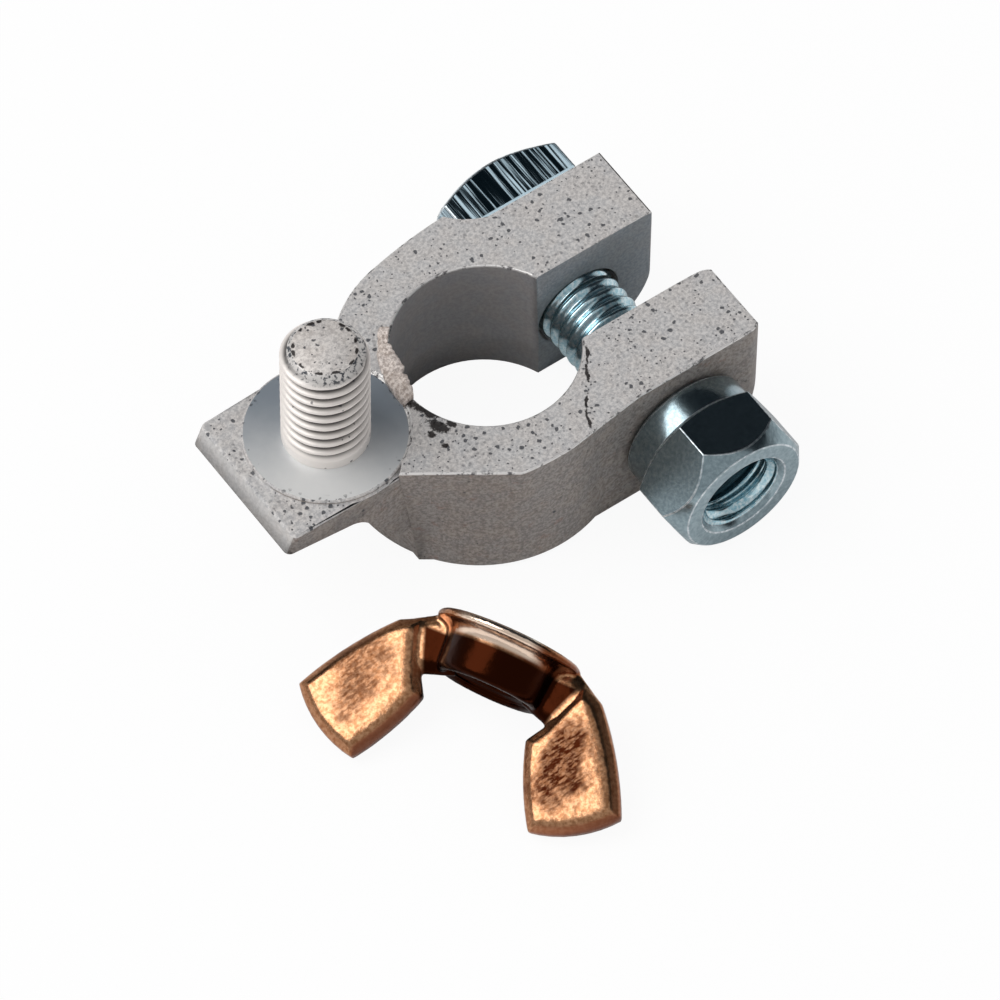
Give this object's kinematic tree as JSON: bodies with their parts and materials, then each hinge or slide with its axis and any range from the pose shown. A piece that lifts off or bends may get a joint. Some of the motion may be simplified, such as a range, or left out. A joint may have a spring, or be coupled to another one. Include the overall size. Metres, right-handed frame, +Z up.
{
  "type": "battery terminal clamp",
  "caption": "Cast split-ring clamp for a tapered battery post, closed by a cross bolt and locking nut, with a cable flange and threaded stud; its wing nut lies beside it.",
  "frame": {"origin": "on the battery post's axis, at the clamp's bottom face", "axes": "+X towards the two ears and their bolt, +Y towards the bolt's square head, +Z up along the post and the stud"},
  "size_m": [0.0521, 0.0583, 0.0279],
  "materials": {
    "cast_alloy": "rough sand-cast zinc alloy, light grey with dark pits",
    "zinc_plated_steel": "blue zinc plating",
    "nylon": "moulded",
    "bronzed_copper": "polished, copper plated"
  },
  "bodies": {
    "root": {"clamp_body": "cast_alloy", "clamp_bolt": "zinc_plated_steel", "wing_nut": "bronzed_copper"},
    "nut_carriage": {"nut_locking_ring": "nylon"},
    "nut": {"lock_nut": "zinc_plated_steel"}
  },
  "joints": [
    {"name": "nut_travel", "type": "slide", "parent": "root", "child": "nut_carriage", "axis": [0, -1, 0], "range_m": [0, 0.005]},
    {"name": "nut_spin", "type": "hinge", "parent": "nut_carriage", "child": "nut", "pos_m": [0.01265, -0.01238, 0.00715], "axis": [0, -1, 0], "range_deg": [0, 1440]}
  ],
  "couplings": [
    {"joint": "nut_travel", "follows": "nut_spin", "m_per_rad": 0.00019894}
  ]
}
